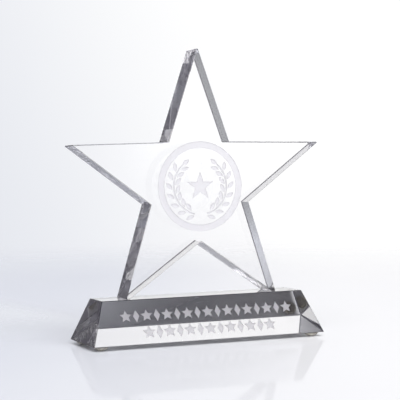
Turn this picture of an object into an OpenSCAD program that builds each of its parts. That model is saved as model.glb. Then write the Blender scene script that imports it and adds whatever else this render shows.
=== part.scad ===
// Star award: a plate of clear crystal cut to a five-pointed star, which stands on two cut-off
// points on a bevelled crystal base with four clear bumpers under it.
// Millimetres. +Z is up, X runs along the base and -Y is the engraved front.
// The origin is on the table, under the middle of the base.

/* [Star] */
// Radius of the circle through the five points
star_r = 96; // [85:1:110]
// Radius of the circle through the five notches
notch_r = 38; // [36:0.5:42]
// Thickness of the plate
plate_t = 20; // [14:0.5:24]
// Height cut off each lower point, which leaves the flat it stands on
foot_cut = 2.6; // [1.5:0.1:4]
// Width of the polished chamfer along the edges of both faces
star_chamfer = 0.5; // [0.3:0.1:1]

/* [Base] */
// Length at the bottom
base_l = 169; // [160:1:200]
// Length on top
top_l = 148; // [140:1:155]
// Depth at the bottom
base_d = 55; // [48:1:70]
// Depth on top
top_d = 27; // [26:0.5:34]
// Height
base_h = 29; // [26:1:36]
// Width of the polished chamfer along every edge
base_chamfer = 0.6; // [0.3:0.1:1]

/* [Bonds] */
// Thickness of the cured adhesive under each standing flat
bond_t = 0.15; // [0.1:0.05:0.3]

/* [Bumpers] */
// Radius of a bumper
bumper_r = 5; // [4:0.25:6]
// Height of a bumper, from the table to its flat back
bumper_h = 2.8; // [2.2:0.1:4]
// Radius of its domed face
dome_r = 6.5; // [6.2:0.1:9]
// Radius of the small flat that the weight presses into the dome
tip_r = 1.5; // [0.5:0.1:2]
// Distance from the middle of a bumper to the base's end and side
bumper_inset = 7; // [6.5:0.5:10]
// Thickness of the adhesive on a bumper's back
backing_t = 0.2; // [0.1:0.05:0.3]

/* [Emblem] */
// Outer radius of the engraved ring
ring_r = 31; // [29:0.5:33]
// Width of the ring's band
ring_w = 4.5; // [3:0.5:5]
// Radius of the wreath's stems
stem_r = 19.5; // [18:0.5:20]
// Leaf pairs on each branch of the wreath
leaf_pairs = 7; // [5:1:7]
// Radius of the small star inside the wreath
badge_r = 10; // [7:0.5:11]
// Depth of all the engraving
engrave_depth = 0.4; // [0.2:0.1:0.6]

/* [Frieze] */
// Figures in the upper row on the base's front
upper_count = 17; // [9:2:17]
// Figures in the lower row
lower_count = 13; // [7:2:19]
// Distance between two figures
frieze_pitch = 7.4; // [7.2:0.1:7.6]
// Height of a figure
figure_h = 9; // [7:0.2:9]
// Distance up the slope to the middle of the upper row
upper_row = 20.5; // [20:0.5:22]
// Distance up the slope to the middle of the lower row
lower_row = 8.5; // [7:0.5:9]

/* [Hidden] */
$fn = 96;

// Heights, from the table up
base_z = bumper_h + backing_t;
bond_z = base_z + base_h;
foot_z = bond_z + bond_t;
star_z = foot_z + star_r * cos(36) - foot_cut;

// Distance from the star's middle to the line of every edge
edge_distance = star_r * notch_r * sin(36)
    / norm([notch_r * sin(36), star_r - notch_r * cos(36)]);

// The legs lean, so the ends of a standing flat are not level with its point
leg_run = star_r * sin(36) - notch_r * sin(72);
leg_rise = star_r * cos(36) - notch_r * cos(72);
foot_outer = star_r * sin(36) - foot_cut * leg_run / leg_rise;
foot_inner = star_r * sin(36) - foot_cut * star_r * sin(36) / (star_r * cos(36) - notch_r);

// Slopes of the base, from the vertical
front_tilt = atan2((base_d - top_d) / 2, base_h);
end_tilt = atan2((base_l - top_l) / 2, base_h);

// The wreath's branches open at the top
branch_start = -76;
branch_end = 48;
leaf_l = 6.2;
leaf_w = 2.8;
leaf_splay = 36;
leaf_gap = 0.8;
stem_w = 1;

crystal = [0.90, 0.90, 0.94, 0.5];
cured_film = [0.80, 0.78, 0.84, 0.6];
clear_rubber = [0.80, 0.76, 0.68, 0.7];
// Overrun that keeps a cut clear of the face it starts from
over = 1;

// Five-pointed star with one point up
module star_outline(r, inner_r) {
    polygon([for (i = [0:9]) let (a = 90 - 36 * i, d = i % 2 == 0 ? r : inner_r) d * [cos(a), sin(a)]]);
}

// Pointed leaf along +X: the part that two equal circles share
module leaf(length, width) {
    r = (length * length + width * width) / (4 * width);
    intersection() {
        translate([length / 2, r - width / 2]) circle(r = r);
        translate([length / 2, width / 2 - r]) circle(r = r);
    }
}

// One branch of the wreath: a curved stem with a leaf at its end and splayed pairs beside it.
// The leaves stand clear of the stem, as cut in a stencil.
module branch() {
    step = (branch_end - branch_start) / leaf_pairs;
    middle = (branch_start + branch_end) / 2;
    intersection() {
        difference() {
            circle(r = stem_r + stem_w / 2);
            circle(r = stem_r - stem_w / 2);
        }
        polygon([
            [0, 0],
            2 * stem_r * [cos(branch_start), sin(branch_start)],
            3 * stem_r * [cos(middle), sin(middle)],
            2 * stem_r * [cos(branch_end), sin(branch_end)]
        ]);
    }
    for (i = [0:leaf_pairs - 1], side = [-1, 1])
        rotate(branch_start + step * (i + 0.25 + 0.25 * side))
            translate([stem_r - side * (stem_w / 2 + leaf_gap), 0])
                rotate(90 + side * leaf_splay)
                    leaf(leaf_l, leaf_w);
    rotate(branch_end + leaf_gap) translate([stem_r, 0]) rotate(92) leaf(leaf_l, leaf_w);
}

// Ring, laurel wreath and small star
module emblem() {
    difference() {
        circle(r = ring_r);
        circle(r = ring_r - ring_w);
    }
    branch();
    mirror([1, 0]) branch();
    star_outline(badge_r, badge_r * notch_r / star_r);
}

// Row of small stars with a lozenge between each two
module frieze(count) {
    for (i = [0:count - 1])
        translate([(i - (count - 1) / 2) * frieze_pitch, 0])
            if (i % 2 == 0) star_outline(figure_h / 2, figure_h / 4.2);
            else polygon([[0, figure_h / 2], [figure_h / 4, 0], [0, -figure_h / 2], [-figure_h / 4, 0]]);
}

// A star slab whose edges slope in by one chamfer width as it rises. Every edge is equally far
// from the middle, so shrinking the outline moves them all in alike.
module chamfer_slab() {
    linear_extrude(height = star_chamfer, scale = 1 - star_chamfer / edge_distance)
        star_outline(star_r, notch_r);
}

module star_plate() {
    straight_t = plate_t - 2 * star_chamfer;
    color(crystal)
        difference() {
            translate([0, 0, star_z])
                rotate([90, 0, 0]) {
                    linear_extrude(height = straight_t, center = true) star_outline(star_r, notch_r);
                    for (face = [0, 1])
                        mirror([0, 0, face]) translate([0, 0, straight_t / 2]) chamfer_slab();
                }
            translate([-star_r, -plate_t, foot_z - foot_cut - over])
                cube([2 * star_r, 2 * plate_t, foot_cut + over]);
            translate([0, engrave_depth - plate_t / 2, star_z])
                rotate([90, 0, 0])
                    linear_extrude(height = engrave_depth + over) emblem();
        }
}

// Side view of a slab that narrows upwards, with its four corners cut off by the chamfer
module slab_profile(bottom, top, height) {
    c = base_chamfer;
    lean = c * (bottom - top) / 2 / height;
    right = [
        [bottom / 2 - c, 0],
        [bottom / 2 - lean, c],
        [top / 2 + lean, height - c],
        [top / 2 - c, height]
    ];
    polygon(concat(right, [for (i = [3:-1:0]) [-right[i][0], right[i][1]]]));
}

// Takes the sharp edge off one sloping corner of the base, halfway between its two faces
module corner_cut() {
    outward = [cos(end_tilt), -cos(front_tilt), sin(end_tilt) + sin(front_tilt)];
    turn = atan2(outward[1], outward[0]);
    lift = atan2(outward[2], norm([outward[0], outward[1]]));
    translate([base_l / 2, -base_d / 2, 0])
        rotate([0, -lift, turn])
            translate([-0.7 * base_chamfer, -base_h, -base_h])
                cube([base_h, 2 * base_h, 3 * base_h]);
}

// Puts a drawing on the base's sloping front, with its middle the given distance up the slope
module on_front(up) {
    translate([0, -base_d / 2, 0])
        rotate([90 - front_tilt, 0, 0])
            translate([0, up, -engrave_depth])
                linear_extrude(height = engrave_depth + over) children();
}

module base_block() {
    color(crystal)
        translate([0, 0, base_z])
            difference() {
                intersection() {
                    rotate([90, 0, 0])
                        linear_extrude(height = base_d, center = true)
                            slab_profile(base_l, top_l, base_h);
                    rotate([90, 0, 90])
                        linear_extrude(height = base_l, center = true)
                            slab_profile(base_d, top_d, base_h);
                }
                for (x = [0, 1], y = [0, 1])
                    mirror([x, 0, 0]) mirror([0, y, 0]) corner_cut();
                on_front(upper_row) frieze(upper_count);
                on_front(lower_row) frieze(lower_count);
            }
}

// Film of cured adhesive between one standing flat and the base
module bond(side) {
    color(cured_film)
        translate([side > 0 ? foot_inner : -foot_outer, star_chamfer - plate_t / 2, bond_z])
            cube([foot_outer - foot_inner, plate_t - 2 * star_chamfer, bond_t]);
}

// Places a piece under one corner of the base
module at_corner(side_x, side_y) {
    translate([side_x * (base_l / 2 - bumper_inset), side_y * (base_d / 2 - bumper_inset), 0]) children();
}

// Clear domed bumper, flat side up
module bumper(side_x, side_y) {
    color(clear_rubber)
        at_corner(side_x, side_y)
            intersection() {
                cylinder(r = bumper_r, h = bumper_h);
                translate([0, 0, sqrt(dome_r * dome_r - tip_r * tip_r)]) sphere(r = dome_r);
            }
}

// Round layer of adhesive between a bumper and the base
module backing(side_x, side_y) {
    color(cured_film)
        at_corner(side_x, side_y)
            translate([0, 0, bumper_h]) cylinder(r = bumper_r, h = backing_t);
}

star_plate();
base_block();
bond(-1);  // left_bond
bond(1);  // right_bond
bumper(-1, -1);  // front_left_bumper
bumper(1, -1);  // front_right_bumper
bumper(-1, 1);  // back_left_bumper
bumper(1, 1);  // back_right_bumper
backing(-1, -1);  // front_left_backing
backing(1, -1);  // front_right_backing
backing(-1, 1);  // back_left_backing
backing(1, 1);  // back_right_backing
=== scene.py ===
import bmesh
import bpy
import numpy as np
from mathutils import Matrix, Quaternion, Vector
from mathutils.geometry import delaunay_2d_cdt


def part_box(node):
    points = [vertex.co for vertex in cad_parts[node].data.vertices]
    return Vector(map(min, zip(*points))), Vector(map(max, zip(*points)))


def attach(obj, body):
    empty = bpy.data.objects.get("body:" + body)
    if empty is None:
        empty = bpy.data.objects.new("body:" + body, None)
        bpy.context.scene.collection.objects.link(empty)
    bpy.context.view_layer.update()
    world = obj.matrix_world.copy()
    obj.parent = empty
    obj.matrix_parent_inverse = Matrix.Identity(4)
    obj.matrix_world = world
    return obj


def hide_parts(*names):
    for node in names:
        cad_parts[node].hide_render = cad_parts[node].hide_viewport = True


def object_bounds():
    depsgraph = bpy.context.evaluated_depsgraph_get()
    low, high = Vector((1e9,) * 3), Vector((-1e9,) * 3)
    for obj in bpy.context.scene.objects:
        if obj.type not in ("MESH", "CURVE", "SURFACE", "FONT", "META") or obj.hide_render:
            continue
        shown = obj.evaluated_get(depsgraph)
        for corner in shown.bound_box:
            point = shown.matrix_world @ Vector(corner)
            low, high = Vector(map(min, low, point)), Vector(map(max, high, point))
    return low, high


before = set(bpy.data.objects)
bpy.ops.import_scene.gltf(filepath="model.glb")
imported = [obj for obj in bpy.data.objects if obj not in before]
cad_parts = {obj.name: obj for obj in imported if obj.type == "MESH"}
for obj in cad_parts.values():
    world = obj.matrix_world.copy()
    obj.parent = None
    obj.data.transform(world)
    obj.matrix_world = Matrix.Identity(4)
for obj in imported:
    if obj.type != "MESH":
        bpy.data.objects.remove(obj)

cad_low, cad_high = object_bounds()


# ---------------------------------------------------------------- camera
# A long lens about a metre away, to the left of the star and barely above it. The camera stands
# very slightly out of level.
def bearing(azimuth, elevation):
    """Unit vector from the star to an azimuth a and an elevation e in degrees, with a = 0 in front:
    (sin a cos e, -cos a cos e, sin e)."""
    turn, rise = np.radians(azimuth), np.radians(elevation)
    return Vector((np.sin(turn) * np.cos(rise), -np.cos(turn) * np.cos(rise), np.sin(rise)))


camera_data = bpy.data.cameras.new("camera")
camera_data.sensor_width = 36.0
camera_data.lens = 123.0
camera = bpy.data.objects.new("camera", camera_data)
bpy.context.collection.objects.link(camera)
bpy.context.scene.camera = camera
camera_distance = 0.953
aim = Vector((0.0036, 0.0, 0.48 * cad_high.z))
away = bearing(-21.91, 1.26)
camera.location = aim + camera_distance * away
level = (-away).to_track_quat("-Z", "Y")
camera.rotation_mode = "QUATERNION"
camera.rotation_quaternion = level @ Quaternion((0, 0, 1), np.radians(-1.21))


# ---------------------------------------------------------------- stage
# A satin table top that fades into a pale surround, as in a studio tent. The surround is white
# behind the star and dark overhead, which is what the sides of the crystal mirror.
class Wire:
    """A shader socket. Sums and products of wires and numbers add Math nodes."""

    def __init__(self, tree, socket=None):
        self.tree, self.socket = tree, socket

    def node(self, kind, settings, inputs, output=0):
        """Adds a node, applies its settings, fills its inputs with values or wires, gives one output."""
        made = self.tree.nodes.new(kind)
        for name, value in settings.items():
            setattr(made, name, value)
        for name, value in inputs.items():
            if isinstance(value, Wire):
                self.tree.links.new(value.socket, made.inputs[name])
            else:
                made.inputs[name].default_value = value
        return Wire(self.tree, made.outputs[output] if made.outputs else None)

    def math(self, operation, *values):
        return self.node("ShaderNodeMath", {"operation": operation}, dict(enumerate(values)))

    def between(self, low, high):
        """Rises smoothly from 0 at low to 1 at high."""
        return self.node("ShaderNodeMapRange", {"interpolation_type": "SMOOTHSTEP"},
                         {"Value": self, "From Min": low, "From Max": high})

    def noise(self, place, scale, detail):
        """Soft noise at a place: its features are about 1 / scale metres wide."""
        return self.node("ShaderNodeTexNoise", {}, {"Vector": place, "Scale": scale, "Detail": detail})

    def stretched(self, factors):
        """A vector wire, each part multiplied by its own factor."""
        return self.node("ShaderNodeVectorMath", {"operation": "MULTIPLY"}, {0: self, 1: factors})

    def parts(self):
        """The x, y and z of a vector wire."""
        outputs = self.node("ShaderNodeSeparateXYZ", {}, {0: self}).socket.node.outputs
        return [Wire(self.tree, output) for output in outputs]

    def blend(self, colour_a, colour_b):
        """Colour a where this is 0 and colour b where it is 1."""
        return self.node("ShaderNodeMix", {"data_type": "RGBA"},
                         {0: self, 6: colour_a, 7: colour_b}, output=2)

    def mixed(self, shader_a, shader_b):
        """Shader a where this is 0 and shader b where it is 1."""
        return self.node("ShaderNodeMixShader", {}, {0: self, 1: shader_a, 2: shader_b})

    def __add__(self, other):
        return self.math("ADD", self, other)

    def __radd__(self, other):
        return self.math("ADD", other, self)

    def __sub__(self, other):
        return self.math("SUBTRACT", self, other)

    def __rsub__(self, other):
        return self.math("SUBTRACT", other, self)

    def __mul__(self, other):
        return self.math("MULTIPLY", self, other)

    def __rmul__(self, other):
        return self.math("MULTIPLY", other, self)

    def __truediv__(self, other):
        return self.math("DIVIDE", self, other)

    def __rtruediv__(self, other):
        return self.math("DIVIDE", other, self)


def start(owner):
    """Empties the node tree of a material or world and gives a wire that adds nodes to it."""
    owner.use_nodes = True
    owner.node_tree.nodes.clear()
    return Wire(owner.node_tree)


world = bpy.data.worlds.new("studio")
bpy.context.scene.world = world
w = start(world)
east, north, up = w.node("ShaderNodeTexCoord", {}, {}, output="Generated").parts()
ahead = 0.375 * east + 0.927 * north      # 1 straight behind the star, -1 on the camera's side
across = 0.927 * east - 0.375 * north     # -1 on the far left, 1 on the far right
# pale paper all round up to about ten degrees, a screen behind the star, a little light from above
skirt = 1 - up.between(0.06, 0.17)
screen = ahead.between(0.70, 0.90) * (1 - up.between(0.35, 0.60))
ceiling = 0.9 * up.between(0.75, 0.95) * ahead.between(-0.3, 0.4)
bright = skirt.math("MAXIMUM", skirt, screen) + ceiling
# the paper is a cooler grey on the left
tone = (across + 0.35 * up + 0.5 * up.between(0.13, 0.20)).between(-0.22, 0.10)
paper = tone.blend((0.78, 0.80, 0.855, 1), (1.03, 1.03, 1.03, 1))
dark_cloth = (0.07, 0.065, 0.08, 1)
# a strip light low on the right of the camera, and a dark card low behind the star on the left: painted
# shade that stands for the shaded floor behind the star
strip = (1.5 * (0.5 * east - 0.866 * north).between(0.972, 0.994)
         * up.between(-0.06, 0.03) * (1 - up.between(0.05, 0.12)))
card_painted_shade = 0.66 * (0.819 * north - 0.574 * east).between(0.82, 0.93) * up.between(-0.36, -0.23)
background = w.node("ShaderNodeBackground", {}, {
    "Color": bright.blend(dark_cloth, paper), "Strength": 1 + strip - card_painted_shade})
w.node("ShaderNodeOutputWorld", {}, {"Surface": background})


def hang(name, data, azimuth, elevation, seen_in_crystal):
    """A lamp two metres from the star, on a bearing, that faces the star."""
    lamp = bpy.data.objects.new(name, data)
    bpy.context.collection.objects.link(lamp)
    toward = bearing(azimuth, elevation)
    lamp.location = 2.0 * toward
    lamp.rotation_mode = "QUATERNION"
    lamp.rotation_quaternion = toward.to_track_quat("Z", "Y")
    lamp.visible_transmission = lamp.visible_glossy = seen_in_crystal


key = bpy.data.lights.new("key", "SUN")
key.energy = 2.9
key.angle = np.radians(60)
hang("key", key, -8, 52, False)
soft_box = bpy.data.lights.new("soft_box", "AREA")
soft_box.shape = "DISK"
soft_box.size = 0.75
soft_box.energy = 6.0
hang("soft_box", soft_box, 23, 30, True)


def add_piece(name, vertices, faces, material, smooth=False, **marks):
    """A mesh object from arrays of points and faces. Each mark becomes a number on every face."""
    mesh = bpy.data.meshes.new(name)
    mesh.from_pydata(vertices, [], faces)
    mesh.materials.append(material)
    mesh.polygons.foreach_set("use_smooth", np.full(len(mesh.polygons), smooth))
    for mark, values in marks.items():
        mesh.attributes.new(mark, "FLOAT", "FACE").data.foreach_set("value", values)
    mesh.update()
    piece = bpy.data.objects.new(name, mesh)
    bpy.context.collection.objects.link(piece)
    return piece


sheet = bpy.data.materials.new("table_sheet")
m = start(sheet)
place = m.node("ShaderNodeTexCoord", {}, {}, output="Object")
x, y, _ = place.parts()
reach = m.node("ShaderNodeVectorMath", {"operation": "LENGTH"}, {0: place}, output="Value")
tooth = m.noise(place, 60, 2)
# the table's colour is painted darker and bluer towards the left and the back: painted shade
table_painted_shade = (x * 0.9 - 0.4 * y + 0.01 * tooth).between(-0.16, 0.15).blend(
    (0.66, 0.68, 0.74, 1), (0.86, 0.86, 0.87, 1))
matt = m.node("ShaderNodeBsdfDiffuse", {}, {"Color": table_painted_shade, "Roughness": 0.3})
gloss = m.node("ShaderNodeBsdfGlossy", {}, {
    "Color": (0.96, 0.97, 1.0, 1), "Roughness": 0.03 + 0.04 * tooth})
sheen = 0.5 * m.node("ShaderNodeFresnel", {}, {"IOR": 1.15}) * (1 - reach.between(0.25, 0.7))
satin = sheen.mixed(matt, gloss)
gone = m.node("ShaderNodeBsdfTransparent", {}, {})
# the sheet ends softly far away, and nearer in front of the dark card, so that the card shows on the
# floor close behind the star on the left as painted shade
cut_for_painted_shade = ((0.819 * y - 0.574 * x) / reach).between(0.86, 0.95) * reach.between(0.08, 0.3)
past_sheet = cut_for_painted_shade.math("MAXIMUM", cut_for_painted_shade, reach.between(0.3, 1.4))
m.node("ShaderNodeOutputMaterial", {}, {"Surface": past_sheet.mixed(satin, gone)})
half_sheet = 1.5
just_under = -2e-5
corners_of_sheet = half_sheet * np.array([(-1, -1, 0), (1, -1, 0), (1, 1, 0), (-1, 1, 0)])
table = add_piece("table", corners_of_sheet + (0, 0, just_under), [[0, 1, 2, 3]], sheet)

scene = bpy.context.scene
scene.view_settings.view_transform = "Standard"
scene.cycles.max_bounces = 32
scene.cycles.transmission_bounces = 32
scene.cycles.glossy_bounces = 32
scene.cycles.diffuse_bounces = 3


# ---------------------------------------------------------------- star plate
# One plate of optical crystal, sawn to a five-pointed star, ground and polished on every side.
# Its faces have a narrow chamfer, its free points are blunted and its two lower ones cut off to
# stand on. The emblem is sandblasted into the front through a stencil.
star_low, star_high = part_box("star_plate")
star_radius = (star_high.x - star_low.x) / (2 * np.sin(np.radians(72)))
notch_share = 0.396
notch_radius = notch_share * star_radius
star_middle = star_high.z - star_radius
star_chamfer = 0.0004
blunt = 0.0012
engraving = 0.0004


def star_tips(radius, notch_radius):
    """Five points and the notch after each, counter-clockwise from the top, as complex numbers:
    i r exp(2 pi i k / 5), and the notches half a step further round."""
    k = np.arange(5)
    return radius * 1j * np.exp(0.4j * np.pi * k), notch_radius * 1j * np.exp(0.4j * np.pi * (k + 0.5))


def cut_star(radius, notch_radius, blunt, standing):
    """Outline of the star. Each point gives way to two corners, one on each of its edges: a
    blunting distance from it, or where the edge crosses the standing height on the lower two."""
    tip, after = star_tips(radius, notch_radius)
    before = np.roll(after, 1)
    low = tip.imag < standing
    share = [np.where(low, (standing - tip.imag) / np.where(low, n.imag - tip.imag, 1),
                      blunt / abs(n - tip)) for n in (before, after)]
    corners = np.column_stack([tip + share[0] * (before - tip), tip + share[1] * (after - tip), after])
    return corners.ravel()


def ring_outline(radius):
    """A circle of 128 points about the origin."""
    return radius * np.exp(2j * np.pi * np.arange(128) / 128)


def leaf_outline(length, width):
    """A pointed leaf along the real axis. Its half width is (1 - s squared) times the greatest one,
    with s from -1 at the stalk to 1 at the tip."""
    s = np.linspace(-1, 1, 11)
    upper = (1 + s) * length / 2 + 1j * width / 2 * (1 - s * s)
    return np.concatenate([upper, upper[-2:0:-1].conj()])


def wreath_branch(radius, first, last, pairs):
    """A stem along a circle from one angle to another, with leaves in turn on its inner and outer
    side, turned out from it by the splay, and one leaf at its end."""
    half_stem, gap, splay = 0.0005, 0.0008, np.radians(36)
    leaf = leaf_outline(0.0062, 0.0028)
    arc = np.exp(1j * np.linspace(first, last, 25))
    stem = np.concatenate([(radius + half_stem) * arc, (radius - half_stem) * arc[::-1]])
    step = (last - first) / pairs
    leaves = [np.exp(1j * (first + step * (i + 0.25 + 0.25 * side)))
              * (radius - side * (half_stem + gap) + 1j * np.exp(1j * side * splay) * leaf)
              for i in range(pairs) for side in (-1, 1)]
    end = np.exp(1j * (last + np.radians(0.8))) * (radius + 1j * np.exp(1j * np.radians(2)) * leaf)
    return [stem, *leaves, end]


def engraved_face(outline, figures):
    """Triangles that fill an outline, with True for those inside an odd number of figures. Points
    are complex numbers in the plane of the face, and triangles are counter-clockwise there."""
    loops = [outline, *figures]
    ends = np.cumsum([0] + [len(loop) for loop in loops])
    rings = [list(range(a, b)) for a, b in zip(ends[:-1], ends[1:])]
    points, _, triangles, _, _, inside = delaunay_2d_cdt(
        [Vector((p.real, p.imag)) for p in np.concatenate(loops)], [], rings, 1, 1e-9)
    points = np.array([complex(*p) for p in points])
    triangles = np.array(triangles)
    a, b, c = points[triangles].T
    clockwise = ((b - a).conj() * (c - a)).imag < 0
    triangles[clockwise] = triangles[clockwise][:, ::-1]
    cut = np.array([(len(i) - 1) % 2 == 1 for i in inside])
    return points, triangles, cut


def sink(triangles, cut, count):
    """Faces of an engraved surface whose floor has its own points, numbered from count up. A wall
    joins the floor to the surface along every edge that only one cut triangle has."""
    floor = triangles[cut]
    edges = np.concatenate([floor[:, [0, 1]], floor[:, [1, 2]], floor[:, [2, 0]]])
    forth, back = edges[:, 0] * count + edges[:, 1], edges[:, 1] * count + edges[:, 0]
    rim = edges[~np.isin(forth, back)]
    wall = np.column_stack([rim, rim[:, 1] + count, rim[:, 0] + count])
    return triangles[~cut], floor + count, wall


def upright(points, depth):
    """Complex points of the star's plane as places in space, at a distance along Y."""
    return np.column_stack([points.real, np.full(len(points), depth), points.imag + star_middle])


branch = wreath_branch(0.0195, np.radians(-76), np.radians(48), 7)
badge = np.column_stack(star_tips(0.010, notch_share * 0.010)).ravel()
emblem = [ring_outline(0.031), ring_outline(0.0265), badge,
          *branch, *(-outline.conj() for outline in branch)]

# an edge of the star lies this far from its middle, so a chamfer shrinks the outline by a share
edge_distance = (star_radius * notch_radius * np.sin(np.radians(36))
                 / abs(star_radius - notch_radius * np.exp(0.2j * np.pi)))
shrink = 1 - star_chamfer / edge_distance
standing = star_low.z - star_middle
face_outline = cut_star(shrink * star_radius, shrink * notch_radius, blunt, standing)
full_outline = cut_star(star_radius, notch_radius, blunt, standing)
flat, triangles, cut = engraved_face(face_outline, emblem)
polished, frosted, wall = sink(triangles, cut, len(flat))

front, rear = star_low.y, star_high.y
rings = [(face_outline, front), (full_outline, front + star_chamfer),
         (full_outline, rear - star_chamfer), (face_outline, rear)]
star_points = np.concatenate([upright(flat, front), upright(flat, front + engraving),
                              *(upright(outline, depth) for outline, depth in rings)])
count = len(full_outline)
j = np.arange(count)
k = np.roll(j, -1)
ring_start = 2 * len(flat) + count * np.arange(4)
front_edge, side, rear_edge = [np.column_stack([a + j, b + j, b + k, a + k])
                               for a, b in zip(ring_start[:-1], ring_start[1:])]
back_face = ring_start[3] + j[::-1]
face_groups = [polished, frosted, wall, front_edge, side, rear_edge, back_face[None]]
frost_of_group = [0, 1, 1, 0, 0, 0, 0]
# the rear chamfer gets all of the grinding and its painted dark veil, the front chamfer a little under
# half
ground_of_group = [0, 0, 0, 0.45, 0, 1, 0]


def per_face(values, groups):
    """One number per face, from one per group of faces."""
    return np.repeat(np.array(values, float), [len(group) for group in groups])


def weld(piece):
    """Joins points that share a place, so that the piece is one closed surface facing outwards."""
    work = bmesh.new()
    work.from_mesh(piece.data)
    bmesh.ops.remove_doubles(work, verts=work.verts, dist=1e-7)
    bmesh.ops.recalc_face_normals(work, faces=work.faces)
    work.to_mesh(piece.data)
    work.free()


def lengthwise(piece):
    """UV map "run": u is the distance along the edge that a side face belongs to, which is its place
    dotted with the level direction in the face, and v is its depth."""
    mesh = piece.data
    places = np.empty(len(mesh.vertices) * 3)
    mesh.vertices.foreach_get("co", places)
    corner = np.empty(len(mesh.loops), int)
    mesh.loops.foreach_get("vertex_index", corner)
    normal = np.empty(len(mesh.polygons) * 3)
    mesh.polygons.foreach_get("normal", normal)
    sizes = np.empty(len(mesh.polygons), int)
    mesh.polygons.foreach_get("loop_total", sizes)
    along = np.cross(normal.reshape(-1, 3), (0, 1, 0))
    along /= np.maximum(np.linalg.norm(along, axis=1), 1e-9)[:, None]
    at_corner = places.reshape(-1, 3)[corner]
    u = (at_corner * np.repeat(along, sizes, 0)).sum(1)
    layer = mesh.uv_layers.new(name="run")
    layer.data.foreach_set("uv", np.column_stack([u, at_corner[:, 1]]).ravel())


def cut_crystal(name, tint, waviness, haze, frost_colour, frost_share):
    """Optical crystal: clear and polished, whitish where it is sandblasted, grey on its ground
    chamfers: they are rough, and their near-black veil is painted shade along the edges. Its sawn
    sides are polished by hand, which leaves them wavy and hazy; their haze is heavier where they face
    up or sideways, painted shade on the upper sides."""
    made = bpy.data.materials.new(name)
    m = start(made)
    place = m.node("ShaderNodeTexCoord", {}, {}, output="Object")
    frost = m.node("ShaderNodeAttribute", {"attribute_name": "frosted"}, {}, output="Fac")
    ground = m.node("ShaderNodeAttribute", {"attribute_name": "ground"}, {}, output="Fac")
    _, out_of_front, upwards = m.node("ShaderNodeNewGeometry", {}, {}, output="True Normal").parts()
    sawn = (1 - out_of_front * out_of_front).between(0.6, 0.9)
    run = m.node("ShaderNodeUVMap", {"uv_map": "run"}, {})
    strokes = m.noise(run.stretched((16, 380, 0)), 1, 3)
    # veil: haze on the sawn sides, heavier where they face up or sideways than where they face down, so
    # partly painted shade on the upper sides
    haze_and_painted_shade = haze * sawn * (0.15 + 0.85 * upwards.between(-0.5, 0.2)) * (0.75 + 0.5 * strokes)
    smudge = m.noise(place, 38, 4).between(0.54, 0.70)
    scratch = m.noise(place.stretched((60, 1500, 1100)), 1, 2).between(0.70, 0.74)
    chips = m.noise(place, 420, 3).between(0.60, 0.68)
    grain = m.noise(place, 3200, 2)
    roughness = (0.012 + 0.03 * smudge + 0.01 * scratch + ground * (0.12 + 0.1 * chips)
                 + frost * (0.42 + 0.12 * grain))
    wave = waviness * sawn * m.noise(place, 32, 0.5) * (1 - frost)
    height = wave + 4e-7 * scratch + ground * chips * 3e-6 + frost * grain * 1.5e-5
    bump = m.node("ShaderNodeBump", {}, {"Height": height, "Distance": 1.0, "Strength": 1.0},
                  output="Normal")
    colour = (0.5 * frost + 0.25 * smudge).blend((1, 1, 1, 1), (0.95, 0.945, 0.965, 1))
    clear = m.node("ShaderNodeBsdfPrincipled", {}, {
        "Base Color": colour, "Roughness": roughness, "IOR": 1.52, "Transmission Weight": 1.0,
        "Normal": bump})
    hand_polished = m.node("ShaderNodeBsdfTranslucent", {}, {
        "Color": (0.49, 0.48, 0.55, 1), "Normal": bump})
    # the near-black veil on the ground chamfers is painted shade, the dark lines along the edges; their
    # roughness above is the real grinding
    unpolished_painted_dark = m.node("ShaderNodeBsdfTranslucent", {}, {
        "Color": (0.12, 0.11, 0.14, 1), "Normal": bump})
    hazed_with_painted_shade = (haze_and_painted_shade + 0.75 * ground).mixed(clear, ground.mixed(hand_polished, unpolished_painted_dark))
    whitened = m.node("ShaderNodeBsdfDiffuse", {}, {"Color": frost_colour, "Normal": bump})
    surface = (frost * (frost_share + 0.16 * grain)).mixed(hazed_with_painted_shade, whitened)
    inside = m.node("ShaderNodeVolumeAbsorption", {}, {"Color": tint, "Density": 3.0})
    m.node("ShaderNodeOutputMaterial", {}, {"Surface": surface, "Volume": inside})
    return made


star_crystal = cut_crystal("star_crystal", tint=(0.62, 0.59, 0.66, 1), waviness=4e-5, haze=0.24,
                           frost_colour=(0.75, 0.735, 0.78, 1), frost_share=0.40)
star = add_piece("star", star_points, [face for group in face_groups for face in group.tolist()],
                 star_crystal, frosted=per_face(frost_of_group, face_groups),
                 ground=per_face(ground_of_group, face_groups))
weld(star)
lengthwise(star)
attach(star, "root")
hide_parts("star_plate")

# ---------------------------------------------------------------- base
# A solid block of the same crystal, sawn with all four sides leaning in, then ground and polished.
# Its edges and corners have a narrow chamfer, and two rows of small figures are sandblasted into
# the front.
base_low, base_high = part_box("base_block")
bottom_length, bottom_depth = 0.169, 0.055
top_length, top_depth = 0.148, 0.027
base_chamfer = 0.0004
figure_height, figure_pitch = 0.009, 0.0074
upper_row, lower_row = 0.0205, 0.0085
end_lean = np.arctan2((bottom_length - top_length) / 2, base_high.z - base_low.z)
front_lean = np.arctan2((bottom_depth - top_depth) / 2, base_high.z - base_low.z)
base_normals = np.array([
    (-np.cos(end_lean), 0, np.sin(end_lean)), (np.cos(end_lean), 0, np.sin(end_lean)),
    (0, -np.cos(front_lean), np.sin(front_lean)), (0, np.cos(front_lean), np.sin(front_lean)),
    (0, 0, -1), (0, 0, 1)])
on_face = np.array([
    (-bottom_length / 2, 0, base_low.z), (bottom_length / 2, 0, base_low.z),
    (0, -bottom_depth / 2, base_low.z), (0, bottom_depth / 2, base_low.z),
    (0, 0, base_low.z), (0, 0, base_high.z)])


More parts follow.
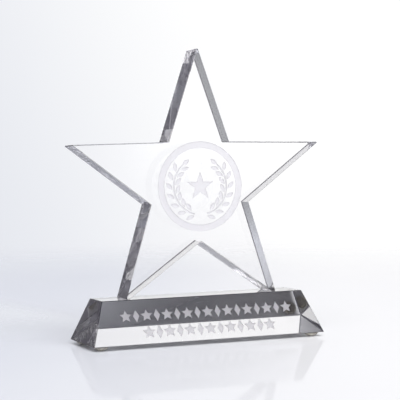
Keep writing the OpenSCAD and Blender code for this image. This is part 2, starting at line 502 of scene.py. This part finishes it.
def chamfered_block(normals, distances, chamfer):
    """A block whose faces are, by turns, the two ends of each axis. Three faces meet at each corner,
    which has three points: each lies on one of them and keeps the chamfer from the other two. Gives
    the points, and as lists of point numbers the six faces, twelve edges and eight corners."""
    meeting = np.array([(x, 2 + y, 4 + z) for x in (0, 1) for y in (0, 1) for z in (0, 1)])
    kept_off = chamfer * (1 - np.eye(3))
    points = np.linalg.solve(np.repeat(normals[meeting][:, None], 3, 1),
                             (distances[meeting][:, None] - kept_off)[..., None])
    number = np.arange(24).reshape(8, 3)
    faces, edges = [], []
    for axis in range(3):
        b, c = [other for other in range(3) if other != axis]
        for end in (0, 1):
            corner = np.zeros((4, 3), int)
            corner[:, axis] = end
            corner[:, [b, c]] = [(0, 0), (1, 0), (1, 1), (0, 1)]
            faces.append(number[corner @ (4, 2, 1), axis].tolist())
        for b_end, c_end in ((0, 0), (0, 1), (1, 0), (1, 1)):
            corner = np.zeros((2, 3), int)
            corner[:, axis], corner[:, b], corner[:, c] = (0, 1), b_end, c_end
            near, far = number[corner @ (4, 2, 1)]
            edges.append([near[b], far[b], far[c], near[c]])
    return points.reshape(-1, 3), faces, edges, number.tolist()


base_points, flats, edge_chamfers, corner_chamfers = chamfered_block(
    base_normals, (base_normals * on_face).sum(1), base_chamfer)
front_flat = flats.pop(2)
foot_of_slope = np.array((0, -bottom_depth / 2, base_low.z))
up_slope = np.array((0, np.sin(front_lean), np.cos(front_lean)))


def frieze(count, row):
    """Stars and lozenges by turns, a pitch apart, in a row centred on the base. Each is a complex
    number along the base and up the slope."""
    small_star = np.column_stack(star_tips(figure_height / 2, figure_height / 4.2)).ravel()
    lozenge = figure_height / 2 * np.array([1j, -0.5, -1j, 0.5])
    return [(i - (count - 1) / 2) * figure_pitch + 1j * row + (lozenge if i % 2 else small_star)
            for i in range(count)]


def on_slope(points, depth):
    """Complex points of the front's plane as places in space, at a depth below its surface."""
    return (foot_of_slope + np.outer(points.real, (1, 0, 0)) + np.outer(points.imag, up_slope)
            - depth * base_normals[2])


corners_of_front = base_points[front_flat]
front_outline = corners_of_front[:, 0] + 1j * ((corners_of_front - foot_of_slope) @ up_slope)
flat, triangles, cut = engraved_face(front_outline, frieze(17, upper_row) + frieze(13, lower_row))
polished, frosted, wall = (faces + len(base_points) for faces in sink(triangles, cut, len(flat)))
base_points = np.concatenate([base_points, on_slope(flat, 0), on_slope(flat, engraving)])
face_groups = [flats, edge_chamfers, corner_chamfers, polished, frosted, wall]
base_crystal = cut_crystal("base_crystal", tint=(0.72, 0.68, 0.75, 1), waviness=6e-6, haze=0.0,
                           frost_colour=(0.50, 0.49, 0.52, 1), frost_share=0.52)
# the chamfers are marked ground, which gives them the painted dark veil along the edges
base = add_piece("base", base_points, [list(face) for group in face_groups for face in group],
                 base_crystal, frosted=per_face([0, 0, 0, 0, 1, 1], face_groups),
                 ground=per_face([0, 1, 1, 0, 0, 0], face_groups))
weld(base)
lengthwise(base)
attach(base, "root")
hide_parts("base_block")

# ---------------------------------------------------------------- bonds
# Light-cured adhesive, clear, that holds each cut-off point of the star to the base. It is a film
# thinner than a visiting card, and its edge is uneven where it was squeezed out and wiped off.
cured = bpy.data.materials.new("cured_adhesive")
m = start(cured)
place = m.node("ShaderNodeTexCoord", {}, {}, output="Object")
bubbles = m.noise(place, 700, 2).between(0.62, 0.68)
colour = m.noise(place, 150, 3).blend((0.97, 0.96, 0.98, 1), (0.86, 0.85, 0.88, 1))
bump = m.node("ShaderNodeBump", {}, {"Height": bubbles * 2e-5, "Distance": 1.0}, output="Normal")
film = m.node("ShaderNodeBsdfPrincipled", {}, {
    "Base Color": colour, "Roughness": 0.06 + 0.3 * bubbles, "IOR": 1.5, "Transmission Weight": 1.0,
    "Normal": bump})
m.node("ShaderNodeOutputMaterial", {}, {"Surface": film})


def wiped_rectangle(half_length, half_width, seed):
    """A rectangle with rounded corners, whose halves follow the fifth root of the cosine and sine of
    the turn. Its edge wanders in two waves by about a hundredth of its size."""
    turn = 2 * np.pi * np.arange(120) / 120
    along, cross = np.cos(turn), np.sin(turn)
    wander = 1 + 0.010 * np.sin(5 * turn + seed) + 0.006 * np.sin(13 * turn + 2 * seed)
    return wander * (half_length * np.sign(along) * abs(along) ** 0.2
                     + 1j * half_width * np.sign(cross) * abs(cross) ** 0.2)


def stacked(outline, scales, heights, middle):
    """A closed body: scaled copies of one outline, one above the other, and a point at both ends.
    Point (i, j) is at middle + scale[i] * outline[j] and height[i]."""
    around = len(outline)
    rings = middle + np.outer(scales, outline)
    points = np.column_stack([rings.real.ravel(), rings.imag.ravel(), np.repeat(heights, around)])
    ends = [(middle.real, middle.imag, heights[0]), (middle.real, middle.imag, heights[-1])]
    j = np.arange(around)
    k = np.roll(j, -1)
    first = around * np.arange(len(scales) - 1)[:, None]
    walls = np.stack([first + j, first + k, first + around + k, first + around + j], -1)
    lower = np.column_stack([np.full(around, len(points)), k, j])
    top = around * (len(scales) - 1)
    upper = np.column_stack([np.full(around, len(points) + 1), top + j, top + k])
    return (np.concatenate([points, ends]),
            [*walls.reshape(-1, 4).tolist(), *lower.tolist(), *upper.tolist()])


def middle_of(low, high):
    """The middle of a box seen from above, as a complex number."""
    return complex((low.x + high.x) / 2, (low.y + high.y) / 2)


squeezed_out = 0.985 * np.array([1, 0.99, 0.985, 0.99, 1])
for seed, node in enumerate(["left_bond", "right_bond"]):
    low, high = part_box(node)
    outline = wiped_rectangle((high.x - low.x) / 2, (high.y - low.y) / 2, seed)
    heights = np.linspace(low.z + 2e-5, high.z - 2e-5, len(squeezed_out))
    bond = add_piece(node + "_film", *stacked(outline, squeezed_out, heights, middle_of(low, high)),
                     cured)
    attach(bond, "root")
    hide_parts(node)

# ---------------------------------------------------------------- bumpers
# Four cast bumpers of clear polyurethane, slightly yellow, stuck on near the corners of the base.
# Each is a dome with a short rim, pressed a little flat where it stands.
rubber = bpy.data.materials.new("clear_rubber")
m = start(rubber)
place = m.node("ShaderNodeTexCoord", {}, {}, output="Object")
dust = m.noise(place, 900, 3).between(0.60, 0.72)
colour = (0.4 * m.noise(place, 220, 2) + 0.6 * dust).blend((0.98, 0.94, 0.84, 1), (0.88, 0.83, 0.73, 1))
bump = m.node("ShaderNodeBump", {}, {"Height": 6e-6 * m.noise(place, 1400, 2), "Distance": 1.0},
              output="Normal")
clear = m.node("ShaderNodeBsdfPrincipled", {}, {
    "Base Color": colour, "Roughness": 0.10 + 0.35 * dust, "IOR": 1.5, "Transmission Weight": 0.6,
    "Normal": bump})
m.node("ShaderNodeOutputMaterial", {}, {"Surface": clear})

# the profile runs from the flat tip over the dome, whose height above the tip is the difference
# between two chords of its sphere, and then up the rounded rim to the back
low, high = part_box("front_left_bumper")
rim_radius, tall = (high.x - low.x) / 2, high.z - low.z
dome_radius, tip_radius = 0.0065, 0.0015
over_dome = np.linspace(tip_radius, rim_radius - 0.0002, 12)
rise = np.sqrt(dome_radius ** 2 - tip_radius ** 2) - np.sqrt(dome_radius ** 2 - over_dome ** 2)
bumper_radii = np.concatenate([
    [0.0008, 0.0013], over_dome, rim_radius + np.array([-3e-5, 0, 0, -3e-5, -2e-4]), [0.002]])
bumper_heights = np.concatenate([
    [1e-5, 1e-5], rise + 2e-5, rise[-1] + np.array([2.2e-4, 3.4e-4]),
    tall - np.array([2e-4, 6e-5, 1e-5, 1e-5])])
bumper_corners = ["front_left", "front_right", "back_left", "back_right"]
for corner in bumper_corners:
    low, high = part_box(corner + "_bumper")
    turned = np.exp(2j * np.pi * np.arange(64) / 64)
    bumper = add_piece(corner + "_dome", *stacked(
        turned, bumper_radii, low.z + bumper_heights, middle_of(low, high)), rubber, smooth=True)
    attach(bumper, "root")
    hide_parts(corner + "_bumper")

# ---------------------------------------------------------------- backings
# A clear layer of pressure-sensitive adhesive on each bumper's back sticks it to the base. It is
# die cut with the bumper, and its edge is slightly ragged.
tack = bpy.data.materials.new("pressure_adhesive")
m = start(tack)
place = m.node("ShaderNodeTexCoord", {}, {}, output="Object")
bubbles = m.noise(place, 1100, 2).between(0.55, 0.66)
colour = bubbles.blend((0.92, 0.89, 0.82, 1), (0.80, 0.78, 0.72, 1))
bump = m.node("ShaderNodeBump", {}, {"Height": bubbles * 1e-5, "Distance": 1.0}, output="Normal")
sticky = m.node("ShaderNodeBsdfPrincipled", {}, {
    "Base Color": colour, "Roughness": 0.2 + 0.3 * bubbles, "IOR": 1.47, "Transmission Weight": 0.6,
    "Normal": bump})
m.node("ShaderNodeOutputMaterial", {}, {"Surface": sticky})


def ragged_disc(radius, seed):
    """A circle of 64 points whose radius wanders in two waves by a hundredth of itself."""
    turn = 2 * np.pi * np.arange(64) / 64
    wander = 0.985 + 0.006 * np.sin(3 * turn + seed) + 0.004 * np.sin(8 * turn + 3 * seed)
    return radius * wander * np.exp(1j * turn)


layer_scales = np.array([0.995, 1.0, 1.0, 0.995])
for seed, corner in enumerate(bumper_corners):
    low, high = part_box(corner + "_backing")
    outline = ragged_disc((high.x - low.x) / 2, seed)
    heights = np.linspace(low.z + 1e-5, high.z - 1.5e-5, len(layer_scales))
    layer = add_piece(corner + "_layer", *stacked(
        outline, layer_scales, heights, middle_of(low, high)), tack)
    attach(layer, "root")
    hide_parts(corner + "_backing")
